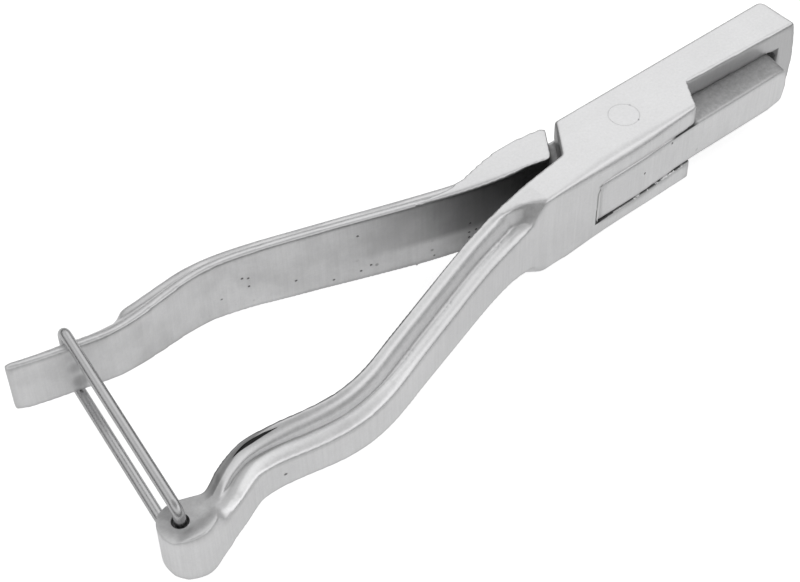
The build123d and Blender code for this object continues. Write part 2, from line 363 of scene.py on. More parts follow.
# %% Hollows and palm distance
HOLLOW_PASSES = 50
HANDLE_REAR, HANDLE_FRONT, PALM_STEP, BEYOND = -153.0, -45.0, 1.0, 30.0


def mark_hollows(piece):
    """Stores how deep each point lies in a hollow, or how far out on an edge, in millimetres."""
    places = read_places(piece.data)
    normals = np.empty(places.size)
    piece.data.vertices.foreach_get("normal", normals)
    add_smooth(piece, "even", HOLLOW_PASSES)
    evened = modified_mesh(piece)
    piece.modifiers.clear()
    depth = np.sum((read_places(evened) - places) * normals.reshape(-1, 3), axis=1) / MM
    store(piece, "hollow", depth)
    print(piece.name, "hollows", round(float(depth.min()), 2), "to", round(float(depth.max()), 2), "mm")


def palm_distance(places, palm_side):
    """How far each point of a handle lies from its palm face, in millimetres, and BEYOND off the handle.

    The palm face is the outermost point in each step along the handle. The distance is the level gap to it,
    divided by the root of one plus its slope squared, which makes it square to the face.
    """
    x, y = places[:, :2].T / MM
    count = round((HANDLE_FRONT - HANDLE_REAR) / PALM_STEP)
    bins = np.floor((x - HANDLE_REAR) / PALM_STEP).astype(int)
    inside = (bins >= 0) & (bins < count)
    reach = np.full(count, -np.inf)
    np.maximum.at(reach, bins[inside], palm_side * y[inside])
    middles = HANDLE_REAR + (np.arange(count) + 0.5) * PALM_STEP
    slope = np.gradient(reach, PALM_STEP)
    level = np.interp(x, middles, reach) - palm_side * y
    across = level / np.sqrt(1.0 + np.interp(x, middles, slope) ** 2)
    return np.where(inside, across, BEYOND)


# %% [markdown]
# ### True holes and rounded corners
# Coarse cells blur small holes, so the rivet's hole and the eye's hole get their walls and rims back. Two
# corners are rounder on the real tool than smoothing makes them: the far corner of the jaw's tip, and the
# punch's nose.

# %% True holes
RIVET_HOLE = {"middle": (0.0, 0.0), "radius": 4.02, "kept": 5.0}
EYE_HOLE = {"middle": (-158.9, -27.9), "radius": 2.1, "kept": 3.0}
RIM_REACH, RIM_DEPTH, WALL_REACH = 0.9, 0.7, 0.38


def from_hole(places, hole):
    """Each point's offset from a hole's axis, and its distance."""
    offset = places[:, :2] - np.array(hole["middle"]) * MM
    return offset, np.linalg.norm(offset, axis=1)


def true_hole(places, hole, half_height):
    """Draws the points near a hole onto its wall, and those at its ends onto flat rims."""
    offset, distance = from_hole(places, hole)
    height = places[:, 2] - MIDDLE_HEIGHT * MM
    rim = (distance < (hole["radius"] + RIM_REACH) * MM) & (np.abs(height) > (half_height - RIM_DEPTH) * MM)
    places[rim, 2] = MIDDLE_HEIGHT * MM + np.sign(height[rim]) * half_height * MM
    wall = distance < (hole["radius"] + WALL_REACH) * MM
    places[wall, :2] += offset[wall] * (hole["radius"] * MM / distance[wall] - 1.0)[:, None]


# %% Rounded corners
CORNER_ROUND = 3.6
JAW_TIP_CORNER = (63.6, 9.9)
NOSE_FRONT, NOSE_FRONT_Y, NOSE_SLANT, NOSE_HALF_HEIGHT = 55.0, 3.0, 0.147, 6.5


def round_corner(first, second, corner):
    """The moves along two axes that draw the points outside a corner onto its arc."""
    from_middle = np.stack([first, second], axis=1) - (np.array(corner) - CORNER_ROUND) * MM
    distance = np.linalg.norm(from_middle, axis=1)
    outside = (from_middle.min(axis=1) > 0.0) & (distance > CORNER_ROUND * MM)
    share = np.where(outside, CORNER_ROUND * MM / np.maximum(distance, MM * MM), 1.0)
    return (share - 1.0)[:, None] * from_middle


def round_nose(places, _across):
    """The upper and lower corners of the punch's slanted front, whose x is worked out from y."""
    front = (NOSE_FRONT - NOSE_SLANT * NOSE_FRONT_Y) * MM + NOSE_SLANT * places[:, 1]
    for side in (1.0, -1.0):
        height = side * (places[:, 2] - MIDDLE_HEIGHT * MM)
        moved = round_corner(places[:, 0] - front, height, (0.0, NOSE_HALF_HEIGHT))
        places[:, 0] += moved[:, 0]
        places[:, 2] += side * moved[:, 1]


# %% [markdown]
# ### The rib near the eye
# On the die handle the rib grows broader towards the eye and leans over the strap. It then runs on over the
# eye's outer side as a low ridge, beside the lower top that the latch enters. The ridge stays under the
# latch's wire, which has to swing over it.

# %% The rib near the eye
RIB_LEAN, RIB_LEAN_FROM, RIB_LEAN_WIDTH = 1.3, 3.5, 5.0
LEAN_STARTS, LEAN_FULL, LEAN_FADES, LEAN_ENDS, LEAN_BOTTOM = -90.0, -112.0, -149.0, -153.0, 14.0
RIDGE_START, RIDGE_END, RIDGE_HALF_WIDTH, RIDGE_TOP = (-147.0, -34.4), (-160.8, -36.4), 5.0, 21.1
EYE_TOP, EYE_SINK, EYE_STARTS, EYE_FULL = 20.5, 1.5, -146.0, -150.5
EYE_SKIN_BELOW, EYE_SKIN_ABOVE = 1.2, 0.6


def widen_rib(places, across):
    """Moves the rib's near side towards the palm by a sine-squared hump, towards the eye only."""
    x = places[:, 0] / MM
    along = rise(x, LEAN_STARTS, LEAN_FULL) * rise(x, LEAN_ENDS, LEAN_FADES)
    hump = np.sin(np.pi * np.clip((across - RIB_LEAN_FROM) / RIB_LEAN_WIDTH, 0.0, 1.0)) ** 2
    places[:, 1] += RIB_LEAN * MM * hump * along * (places[:, 2] > LEAN_BOTTOM * MM)


def lengthen_rib(places):
    """Gives the eye's top its new height: a parabola across the ridge's line, and lower elsewhere."""
    start, end = np.array(RIDGE_START), np.array(RIDGE_END)
    from_start = places[:, :2] / MM - start
    share = np.clip(from_start @ (end - start) / np.sum((end - start) ** 2), 0.0, 1.0)
    away = np.linalg.norm(from_start - share[:, None] * (end - start), axis=1)
    profile = np.clip(1.0 - (away / RIDGE_HALF_WIDTH) ** 2, 0.0, 1.0)
    over_eye = rise(places[:, 0] / MM, EYE_STARTS, EYE_FULL)
    height = places[:, 2] / MM - EYE_TOP
    top = (height > -EYE_SKIN_BELOW) & (height < EYE_SKIN_ABOVE) & (over_eye > 0.0)
    aim = EYE_TOP - EYE_SINK + (RIDGE_TOP - EYE_TOP + EYE_SINK) * profile
    places[top, 2] += ((aim * MM - places[:, 2]) * over_eye)[top]


def reshape_die_handle(places, across):
    """The rib near the eye, both holes, and the far corner of the jaw's tip, seen from above."""
    widen_rib(places, across)
    lengthen_rib(places)
    true_hole(places, RIVET_HOLE, MIDDLE_HEIGHT)
    true_hole(places, EYE_HOLE, EYE_TOP - EYE_SINK - MIDDLE_HEIGHT)
    places[:, :2] += round_corner(places[:, 0], places[:, 1], JAW_TIP_CORNER)


# %% [markdown]
# ### Wear
# Each worn spot is a ball, or an egg that is stretched along some axes. Smoothing counts fully within half
# its radius. The punch handle's rib is worn all along, because the photograph shows an almost plain top
# there.

# %% Wear
FINE_MESH, POLISH_PASSES, WEAR_PASSES, WEAR_STEPS = 0.5, 3, 40, 5
RIB_WEAR_FROM, RIB_WEAR_FADE, RIB_WEAR_BOTTOM = 4.0, 2.5, 15.0
DIE_HANDLE_SPOTS = {
    "eye": ((-156.5, -29.0, 13.0), (1.0, 1.0, 0.6), 13.0),
    "rib's end": ((-152.0, -34.8, 22.5), (1.0, 1.0, 1.0), 6.0),
    "jaw's tip": ((63.6, 3.4, 13.0), (1.0, 0.6, 0.3), 6.0),
    "heel": ((-36.5, -11.0, 0.0), (0.8, 0.8, 1.0), 6.5),
}
PUNCH_LEVER_SPOTS = {
    "nose below": ((54.0, -9.9, 6.5), (1.0, 1.0, 1.0), 7.0),
    "nose above": ((54.0, -9.9, 19.5), (1.0, 1.0, 1.0), 7.0),
    "handle's end": ((-167.5, 32.0, 13.0), (1.0, 1.0, 0.4), 5.0),
}


def near_spot(places, spot):
    """How much a spot's wear counts at each place: 1 within half its radius, 0 from its radius on."""
    middle, stretch, radius = spot
    away = (places - np.array(middle) * MM) * np.array(stretch)
    return np.clip(2.0 * (1.0 - np.linalg.norm(away, axis=1) / (radius * MM)), 0.0, 1.0)


def rib_share(places, across):
    """How much the rib's wear counts: along the handle's top, past the strap."""
    share = np.clip((across - RIB_WEAR_FROM) / RIB_WEAR_FADE, 0.0, 1.0)
    return share * (across < BEYOND) * (places[:, 2] > RIB_WEAR_BOTTOM * MM)


def add_wear_groups(piece, worn, free):
    """Vertex groups for the two smoothings; the worn one has its share in a few steps."""
    group = piece.vertex_groups.new(name="worn")
    for step in range(1, WEAR_STEPS + 1):
        members = np.flatnonzero(np.round(worn * WEAR_STEPS) == step)
        group.add(members.tolist(), step / WEAR_STEPS, "REPLACE")
    piece.vertex_groups.new(name="free").add(np.flatnonzero(free).tolist(), 1.0, "REPLACE")


# %% Both castings
def soft_casting(node, body, palm_side, spots, holes, reshape, rib_wear=0.0):
    """A finely meshed copy of a casting's solid, reshaped and worn soft; the holes' surroundings stay."""
    piece = bpy.data.objects.new(node + "_casting", frame["nodes"][node].data.copy())
    bpy.context.scene.collection.objects.link(piece)
    remesh = piece.modifiers.new("fine_mesh", "REMESH")
    remesh.mode, remesh.voxel_size, remesh.use_smooth_shade = "VOXEL", FINE_MESH * MM, True
    apply_modifiers(piece)
    places = read_places(piece.data)
    across = palm_distance(places, palm_side)
    reshape(places, across)
    piece.data.vertices.foreach_set("co", places.ravel())
    worn = rib_wear * rib_share(places, across)
    for spot in spots.values():
        worn = np.maximum(worn, near_spot(places, spot))
    free = np.ones(len(places))
    for hole in holes:
        free *= from_hole(places, hole)[1] > hole["kept"] * MM
    add_wear_groups(piece, worn * free, free)
    add_smooth(piece, "polish", POLISH_PASSES, "free")
    add_smooth(piece, "wear", WEAR_PASSES, "worn")
    apply_modifiers(piece)
    mark_hollows(piece)
    store(piece, "across", across)
    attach(piece, body)
    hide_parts(node)
    print(piece.name, "faces", len(piece.data.polygons))
    return piece


castings = {
    "die_handle": soft_casting(
        "die_handle", "frame", 1.0, DIE_HANDLE_SPOTS, (RIVET_HOLE, EYE_HOLE), reshape_die_handle
    ),
    "punch_lever": soft_casting(
        "punch_lever", "lever", -1.0, PUNCH_LEVER_SPOTS, (), round_nose, rib_wear=1.0
    ),
}

# %% [markdown]
# ## Ground steel
# Both castings have the same satin skin where the belt reached: pale, with fine upright lines on the handles.
# Where it did not reach, as between the plates and on the punch's top, the skin is grey and grainy as cast.
# A finish therefore starts from the ground skin and is changed by masks made from the place on the tool.
# While it is built, the skin is a handful of sockets: its shade, its roughness and its height.


# %% Changes to the skin
def dim(tree, skin, mask, factor):
    """Multiplies the shade by a factor where a mask is 1."""
    skin["shade"] = calc(tree, "MULTIPLY", skin["shade"], calc(tree, "MULTIPLY_ADD", mask, factor - 1.0, 1.0))


def vary(tree, skin, noise, amount):
    """Varies the shade with a noise, by half the amount up and down."""
    factor = calc(tree, "MULTIPLY_ADD", noise, amount, 1.0 - amount / 2.0)
    skin["shade"] = calc(tree, "MULTIPLY", skin["shade"], factor)


def roughen(tree, skin, mask, amount):
    """Adds roughness where a mask is 1."""
    skin["rough"] = calc(tree, "MULTIPLY_ADD", mask, amount, skin["rough"])


def raise_skin(tree, skin, mask, millimetres):
    """Raises or sinks the skin where a mask is 1."""
    skin["height"] = calc(tree, "MULTIPLY_ADD", mask, millimetres, skin["height"])


# %% The ground skin
UPRIGHT_LINES, EVEN_GRAIN, GRAIN_FINENESS, GRAIN_SHARE = (1.0, 1.0, 0.05), (1.0, 1.0, 1.0), 1.3, 0.6
CLOUDS, PATCHES = {"Size": 70.0, "Fine": 0.62}, {"Size": 22.0, "Fine": 0.5}
WAVES = {"Size": 110.0, "Fine": 0.35}
CLOUD_TONE, PATCH_TONE, LINE_TONE, GRAIN_TONE, ROUGH_VARIES = 0.22, 0.16, 0.2, 0.12, 0.1
CAST_LINES = {"density": 1300.0, "line_depth": 0.012, "wave_depth": 0.07}
PLAIN_LINES = {"density": 1000.0, "line_depth": 0.006, "wave_depth": 0.03}


def ground_steel(name, roughness, density, line_depth, wave_depth):
    """The ground skin: belt lines, fine grain, clouds, broad patches and slow waves."""
    material = bpy.data.materials.new(name)
    material.use_nodes = True
    tree = material.node_tree
    coords = add_node(tree, "ShaderNodeTexCoord").outputs
    place = coords["Object"]
    lines = use(tree, belt, Place=place, Stretch=UPRIGHT_LINES, Density=density)
    grain = use(tree, belt, Place=place, Stretch=EVEN_GRAIN, Density=density * GRAIN_FINENESS)
    clouds = use(tree, cloud, Place=place, **CLOUDS)
    patches = use(tree, cloud, Place=place, **PATCHES)
    waves = use(tree, cloud, Place=place, **WAVES)
    skin = {"shade": 1.0, "rough": roughness - ROUGH_VARIES, "height": 0.0, "place": place}
    skin["normal"] = coords["Normal"]
    vary(tree, skin, clouds, CLOUD_TONE)
    vary(tree, skin, patches, PATCH_TONE)
    vary(tree, skin, lines, LINE_TONE)
    vary(tree, skin, grain, GRAIN_TONE)
    roughen(tree, skin, lines, ROUGH_VARIES)
    roughen(tree, skin, clouds, ROUGH_VARIES)
    raise_skin(tree, skin, waves, wave_depth)
    raise_skin(tree, skin, lines, line_depth)
    raise_skin(tree, skin, grain, line_depth * GRAIN_SHARE)
    return material, tree, skin


def close_steel(material, skin, colour):
    """Joins shade, roughness and height to the shader."""
    tree = material.node_tree
    shader = tree.nodes["Principled BSDF"]
    tint = add_node(tree, "ShaderNodeMix", {"data_type": "RGBA", "blend_type": "MULTIPLY"})
    tint.inputs["Factor"].default_value = 1.0
    tint.inputs["A"].default_value = (*colour, 1.0)
    tree.links.new(skin["shade"], tint.inputs["B"])
    tree.links.new(tint.outputs["Result"], shader.inputs["Base Color"])
    tree.links.new(skin["rough"], shader.inputs["Roughness"])
    shader.inputs["Metallic"].default_value = 1.0
    bump = add_node(tree, "ShaderNodeBump", Height=skin["height"])
    bump.inputs["Strength"].default_value = 1.0
    bump.inputs["Distance"].default_value = 1.0 * MM
    tree.links.new(bump.outputs[0], shader.inputs["Normal"])
    return material


# %% [markdown]
# ## Marks that both castings have
# Hollows get painted shade, upright faces get a painted shade line just under an edge, and edges are painted
# a little darker, which dulls their highlights. Where the belt did not reach, the skin stays as cast. Painted
# shade also fills the joint between the plates and the lever: solid at the window's lower rear corner, broken
# along its lower edge, and a mere line along its upper edge and up its rear.

# %% Painted hollow and edge shade, and cast skin
# Painted shade: the tones of hollows, of upright faces just under an edge, and of edges.
HOLLOW_SHADE_TONE, UNDER_EDGE_SHADE_TONE, EDGE_SHADE_TONE = 0.7, 0.84, 0.95
CAST_CONTRAST, CAST_ROUGHNESS = 0.5, 0.2


def painted_hollow_and_edge_shade(tree, skin, hollow):
    """Painted shade in hollows and just under edges on upright faces, and darker edges that dull their
    highlights.
    """
    dim(tree, skin, ramp(tree, hollow, 0.04, 0.45), HOLLOW_SHADE_TONE)
    upright = fade(tree, calc(tree, "ABSOLUTE", split(tree, skin["normal"])["Z"]), 0.3, 0.75)
    dim(tree, skin, both(tree, upright, fade(tree, hollow, -0.3, -0.05)), UNDER_EDGE_SHADE_TONE)
    dim(tree, skin, fade(tree, hollow, -0.5, -0.1), EDGE_SHADE_TONE)


def as_cast(tree, skin, mask, tone, grain_size, grain_depth):
    """Turns the skin grey and grainy where a mask is 1; the tone is the mean shade."""
    grains = use(tree, cloud, Place=skin["place"], Size=grain_size, Fine=0.7)
    mottled = calc(tree, "MULTIPLY_ADD", grains, CAST_CONTRAST, tone - CAST_CONTRAST / 2.0)
    mix = add_node(tree, "ShaderNodeMix", {"data_type": "FLOAT"})
    tree.links.new(mask, mix.inputs["Factor"])
    mix.inputs[2].default_value = 1.0
    tree.links.new(mottled, mix.inputs[3])
    skin["shade"] = calc(tree, "MULTIPLY", skin["shade"], mix.outputs[0])
    roughen(tree, skin, mask, CAST_ROUGHNESS)
    raise_skin(tree, skin, both(tree, mask, grains), grain_depth)


# %% Seams of the window
SEAM_LOW, SEAM_HIGH, WINDOW_REAR, PLATE_FRONT = 6.45, 19.55, -18.0, 17.5
LOWER_CORNER, UPPER_CORNER = 2.0, 3.5
# Tones of the painted shade in the joints between the plates and the lever.
SEAM_SHADE_TONE, CORNER_SHADE_TONE, LINE_SEAM_SHADE_TONE, THIN_SEAM_SHADE_TONE = 0.12, 0.1, 0.5, 0.72


def corner_distance(tree, inward_x, inward_z, radius):
    """How far a point lies outside a rounded corner, from its places inward of the corner's two sides."""
    over_x = calc(tree, "MAXIMUM", calc(tree, "SUBTRACT", radius * MM, inward_x), 0.0)
    over_z = calc(tree, "MAXIMUM", calc(tree, "SUBTRACT", radius * MM, inward_z), 0.0)
    squares = calc(tree, "MULTIPLY_ADD", over_x, over_x, calc(tree, "MULTIPLY", over_z, over_z))
    return calc(tree, "SUBTRACT", calc(tree, "SQRT", squares), radius * MM)


def seam_shade(tree, skin):
    """Painted shade along the window's lower edge, which turns from solid to broken, along its upper edge,
    and at the front.
    """
    x, y, z = split(tree, skin["place"])
    outside = before(tree, y, -9.3, -9.0)
    along = both(tree, between(tree, x, WINDOW_REAR - 0.4, PLATE_FRONT + 0.4, 0.3), outside)
    grains = use(tree, cloud, Place=skin["place"], Size=600.0, Fine=0.6)
    closed = calc(tree, "MULTIPLY_ADD", past(tree, x, -8.0, -2.0), 0.14, 0.3)
    broken = ramp(tree, calc(tree, "SUBTRACT", grains, closed), 0.0, 0.1)
    low = between(tree, z, SEAM_LOW - 0.3, SEAM_LOW + 0.3, 0.15)
    # Painted shade in the joints: solid, broken by noise, and a thin line under the top plate.
    dim(tree, skin, both(tree, low, along, broken), SEAM_SHADE_TONE)
    high = between(tree, z, SEAM_HIGH - 0.35, SEAM_HIGH + 0.25, 0.2)
    dim(tree, skin, both(tree, high, along), THIN_SEAM_SHADE_TONE)
    front = both(
        tree,
        between(tree, z, SEAM_HIGH - 1.0, SEAM_HIGH + 0.35, 0.15),
        before(tree, y, -7.4, -7.0),
        between(tree, x, 9.5, PLATE_FRONT + 0.6, 1.2),
        ramp(tree, grains, 0.33, 0.4),
    )
    dim(tree, skin, front, SEAM_SHADE_TONE)


def rear_shade(tree, skin):
    """Painted shade behind the window's rounded rear corners: a wedge below, and a line up the rear and round
    it.
    """
    x, y, z = split(tree, skin["place"])
    near = both(
        tree,
        before(tree, y, -9.3, -9.0),
        between(tree, x, WINDOW_REAR - 0.8, WINDOW_REAR + 6.0, 0.1),
        between(tree, z, SEAM_LOW - 0.4, SEAM_HIGH + 0.3, 0.1),
    )
    inward = calc(tree, "SUBTRACT", x, (WINDOW_REAR - 0.5) * MM)
    above = calc(tree, "SUBTRACT", z, (SEAM_LOW - 0.2) * MM)
    below = calc(tree, "SUBTRACT", (SEAM_HIGH + 0.1) * MM, z)
    wedge = past(tree, corner_distance(tree, inward, above, LOWER_CORNER), -0.15, 0.1)
    # Painted shade: a wedge at the lower rear corner and a line round the upper one.
    dim(tree, skin, both(tree, near, before(tree, z, 11.0, 12.0), wedge), CORNER_SHADE_TONE)
    arc = corner_distance(tree, inward, below, UPPER_CORNER)
    line = both(tree, past(tree, arc, -0.4, -0.1), before(tree, arc, 0.2, 0.5))
    dim(tree, skin, both(tree, near, past(tree, z, 10.0, 13.0), line), LINE_SEAM_SHADE_TONE)


# %% [markdown]
# ## The die handle's finish
# The inside of the slot is grey as cast and darkened further with painted shade; the wall where the handle's
# hollow begins and the top of the eye are grey as cast too. The plates' rear wall and the jaw's inner face
# get painted shade. Along the top of the handle the strap and the valley get painted shade towards the eye
# while the rib gets a painted highlight, a dark line follows the palm edge, and a thin slit marks the strap.
# The slit is a flaw of the casting's skin and at most a millimetre wide, so it is a mark and not a cut; its
# black is painted shade.

# %% Marks along the die handle
VALLEY_SHIFT, SHIFT_FULL, SHIFT_STARTS = 1.6, -146.0, -126.0
# Painted shade for the valley, the strap and its hollows, a dark palm-edge line, a painted highlight for the
# rib.
VALLEY_SHADE_TONE, STRAP_SHADE_TONE, STRAP_HOLLOW_SHADE_TONE, LIP_TONE, RIB_HIGHLIGHT_TONE, SLIT_SHADE_TONE = 0.82, 0.88, 0.72, 0.42, 1.25, 0.06
SLIT = {"middle": -134.5, "half_length": 6.8, "across": 1.7, "half_width": 0.5, "depth": 0.2}


def handle_marks(tree, skin, hollow, upward):
    """Painted shade on strap and valley, painted highlight on the rib, a dark palm-edge line; the valley
    shifts out near the eye.
    """
    x, _, z = split(tree, skin["place"])
    shift = ramp(tree, x, SHIFT_FULL * MM, SHIFT_STARTS * MM, VALLEY_SHIFT, 0.0)
    across = calc(tree, "SUBTRACT", stored(tree, "across"), shift)
    off_eye = past(tree, x, -152.5, -148.0)
    to_eye = both(tree, upward, off_eye, before(tree, x, -140.0, -75.0))
    # Painted shade on the valley and the strap, and a painted highlight on the rib, all growing towards the
    # eye.
    valley = both(tree, to_eye, ramp(tree, across, 3.6, 4.4), fade(tree, across, 5.2, 5.7))
    dim(tree, skin, valley, VALLEY_SHADE_TONE)
    strap = both(tree, to_eye, ramp(tree, across, -0.5, 0.0), fade(tree, across, 4.8, 5.6))
    dim(tree, skin, strap, STRAP_SHADE_TONE)
    dim(tree, skin, both(tree, strap, ramp(tree, hollow, 0.0, 0.3)), STRAP_HOLLOW_SHADE_TONE)
    palm_edge = both(tree, fade(tree, across, 0.5, 0.9), past(tree, z, 15.0, 18.0))
    dim(tree, skin, both(tree, off_eye, palm_edge, before(tree, x, -80.0, -66.0)), LIP_TONE)
    rib = both(tree, upward, to_eye, ramp(tree, across, 5.2, 6.2), fade(tree, across, 10.2, 11.0))
    dim(tree, skin, rib, RIB_HIGHLIGHT_TONE)


def slit_mark(tree, skin, upward):
    """A slit with the outline of a lens: its half width falls off as a parabola towards both ends."""
    x, _, z = split(tree, skin["place"])
    along = calc(tree, "DIVIDE", calc(tree, "SUBTRACT", x, SLIT["middle"] * MM), SLIT["half_length"] * MM)
    room = calc(tree, "SUBTRACT", 1.0, calc(tree, "MULTIPLY", along, along), clamp=True)
    away = calc(tree, "ABSOLUTE", calc(tree, "SUBTRACT", stored(tree, "across"), SLIT["across"]))
    inside = calc(tree, "SUBTRACT", calc(tree, "MULTIPLY", room, SLIT["half_width"]), away)
    slit = both(tree, upward, ramp(tree, inside, 0.0, 0.15), past(tree, z, 17.0, 18.0))
    # The slit's black is painted shade, as inside a narrow crack.
    dim(tree, skin, slit, SLIT_SHADE_TONE)
    raise_skin(tree, skin, slit, -SLIT["depth"])


# %% The die handle's finish
STEEL, CAST_ROUGH = (0.75, 0.75, 0.755), 0.39
SLOT_BOX = ((-22.0, 56.5, 0.3), (-9.4, 9.4, 0.3), (6.3, 19.7, 0.15))
WALL_BOX = ((-45.0, -36.6, 1.0), (-11.0, -5.0, 0.5), (20.0, 25.7, 0.3))
SLOT_CAST_AND_SHADE = {"tone": 0.42, "grain_size": 420.0, "grain_depth": 0.1}
WALL_CAST = {"tone": 0.6, "grain_size": 500.0, "grain_depth": 0.06}
EYE_CAST = {"tone": 0.78, "grain_size": 300.0, "grain_depth": 0.05}
JAW_FACE_SHADE_TONE, REAR_WALL_SHADE_TONE, RING_TONE, RING_INSIDE, RING_OUTSIDE = 0.72, 0.42, 0.85, 3.95, 4.25
PIT_TONE, PIT_DEPTH, PIT_RADIUS = 0.3, 0.3, 0.5
EYE_MIDDLE = (-156.8, -26.0, 20.5)
DIE_HANDLE_PITS = [(-131.2, -28.6, 12.8), (-123.8, -29.3, 8.6)]


def cast_places(tree, skin, facing):
    """The places that the belt did not reach: the slot, the wall at the root, and the eye's top."""
    # The slot is grey as cast, and its low tone adds painted shade inside it.
    as_cast(tree, skin, in_box(tree, skin["place"], SLOT_BOX), **SLOT_CAST_AND_SHADE)
    sloping = both(tree, fade(tree, facing["Z"], 0.75, 0.95), ramp(tree, facing["Y"], -0.9, -0.75))
    as_cast(tree, skin, both(tree, in_box(tree, skin["place"], WALL_BOX), sloping), **WALL_CAST)
    near_eye = before(tree, distance_from(tree, skin["place"], EYE_MIDDLE), 6.0, 10.0)
    as_cast(tree, skin, both(tree, ramp(tree, facing["Z"], 0.35, 0.75), near_eye), **EYE_CAST)


def die_handle_finish():
    """Ground outside, as cast where the belt did not reach, with the rivet's outline and a few pits."""
    material, tree, skin = ground_steel("cast_steel", CAST_ROUGH, **CAST_LINES)
    facing, (x, y, _) = split(tree, skin["normal"]), split(tree, skin["place"])
    hollow = stored(tree, "hollow")
    cast_places(tree, skin, facing)
    # Painted shade in hollows, under and on edges, and in the window's joints.
    painted_hollow_and_edge_shade(tree, skin, hollow)
    seam_shade(tree, skin)
    rear_shade(tree, skin)
    upward = ramp(tree, facing["Z"], 0.3, 0.7)
    handle_marks(tree, skin, hollow, upward)
    slit_mark(tree, skin, upward)
    # Painted shade on the jaw's inner face and on the plates' rear wall.
    inward = fade(tree, facing["Y"], -0.9, -0.6)
    jaw_face = both(tree, inward, between(tree, x, 17.8, 62.5, 0.3), between(tree, y, -4.0, 0.0, 0.3))
    dim(tree, skin, jaw_face, JAW_FACE_SHADE_TONE)
    rearward = fade(tree, facing["X"], -0.6, -0.3)
    rear_wall = both(tree, rearward, between(tree, x, -34.0, -14.0, 0.5), past(tree, y, -3.0, -1.0))
    dim(tree, skin, rear_wall, REAR_WALL_SHADE_TONE)
    level = add_node(tree, "ShaderNodeVectorMath", {"operation": "MULTIPLY"}, i0=skin["place"])
    level.inputs[1].default_value = (1.0, 1.0, 0.0)
    radius = distance_from(tree, level.outputs[0], (0.0, 0.0, 0.0))
    dim(tree, skin, between(tree, radius, RING_INSIDE, RING_OUTSIDE, 0.08), RING_TONE)
    dots = dots_at(tree, skin["place"], DIE_HANDLE_PITS, PIT_RADIUS)
    dim(tree, skin, dots, PIT_TONE)
    raise_skin(tree, skin, dots, -PIT_DEPTH)
    return close_steel(material, skin, STEEL)


# %% [markdown]
# ## The punch lever's finish
# The punch's top and the neck behind the plates are grey as cast. The handle's inner face is cloudy and dull
# along its lower edge. It mirrors the other handle and the dark gap between them, which is painted as a
# reflection that is darkest towards the head. Rows of small pits and a painted shadow at the latch are placed
# as on the real tool.

# %% Marks of the punch lever
PUNCH_LEVER_PITS = [
    (-110.3, 26.5, 10.1),
    (-103.1, 24.8, 14.3),
    (-104.6, 25.3, 14.9),
    (-103.1, 24.8, 11.4),
    (-91.5, 21.1, 8.6),
    (-82.2, 17.8, 5.2),
    (-75.3, 15.4, 5.8),
    (-72.7, 14.5, 7.0),
    (-56.4, 9.1, 4.1),
    (-46.9, 6.1, 11.9),
    (-47.1, 6.2, 8.7),
    (-45.2, 5.7, 9.0),
    (-47.1, 6.2, 6.9),
    (-75.8, 15.5, 18.6),
    (-1.3, -10.6, 13.6),
    (8.7, -10.1, 17.9),
]
# Places of a painted shadow at the latch, on the handle's inner face.
LATCH_SHADOW_SPOTS = [(-151.5, 30.9, 18.0), (-151.0, 30.1, 14.0), (-150.1, 29.4, 9.0)]
# Tones of the inner face; the last two are painted reflection, darker towards the head.
INNER_CLOUD_TONE, FOOT_TONE, REFLECTED_SHADE_TONE, DEEP_REFLECTED_SHADE_TONE = 0.84, 0.68, 0.55, 0.45
# Tone and radius of the painted shadow at the latch, then of the pits.
LATCH_SHADOW_TONE, LATCH_SHADOW_RADIUS = 0.7, 3.4
LEVER_PIT_TONE, LEVER_PIT_RADIUS, SCATTERED_TONE = 0.28, 0.42, 0.45
LAYER_CAST = {"tone": 0.62, "grain_size": 800.0, "grain_depth": 0.08}
NECK_CAST = {"tone": 0.62, "grain_size": 500.0, "grain_depth": 0.05}


def inner_face_marks(tree, skin, inner):
    """Cloudy, dull along the lower edge, with a painted reflection darkest towards the head, and a painted
    shadow at the latch.
    """
    x, _, z = split(tree, skin["place"])
    on_handle = both(tree, inner, before(tree, x, -25.0, -23.0))
    clouds = ramp(tree, use(tree, cloud, Place=skin["place"], Size=55.0, Fine=0.6), 0.35, 0.65)
    dim(tree, skin, both(tree, on_handle, clouds), INNER_CLOUD_TONE)
    foot = both(tree, on_handle, before(tree, z, 0.8, 5.0), past(tree, x, -115.0, -85.0))
    dim(tree, skin, foot, FOOT_TONE)
    # Painted reflection of the other handle and the dark gap: darker towards the head, darker still near it.
    shaded = both(tree, on_handle, past(tree, x, -86.0, -50.0), past(tree, z, 8.5, 11.5))
    dim(tree, skin, shaded, REFLECTED_SHADE_TONE)
    dim(tree, skin, both(tree, on_handle, past(tree, x, -64.0, -40.0)), DEEP_REFLECTED_SHADE_TONE)
    # Painted shadow at the latch.
    dim(tree, skin, both(tree, inner, dots_at(tree, skin["place"], LATCH_SHADOW_SPOTS, LATCH_SHADOW_RADIUS)), LATCH_SHADOW_TONE)


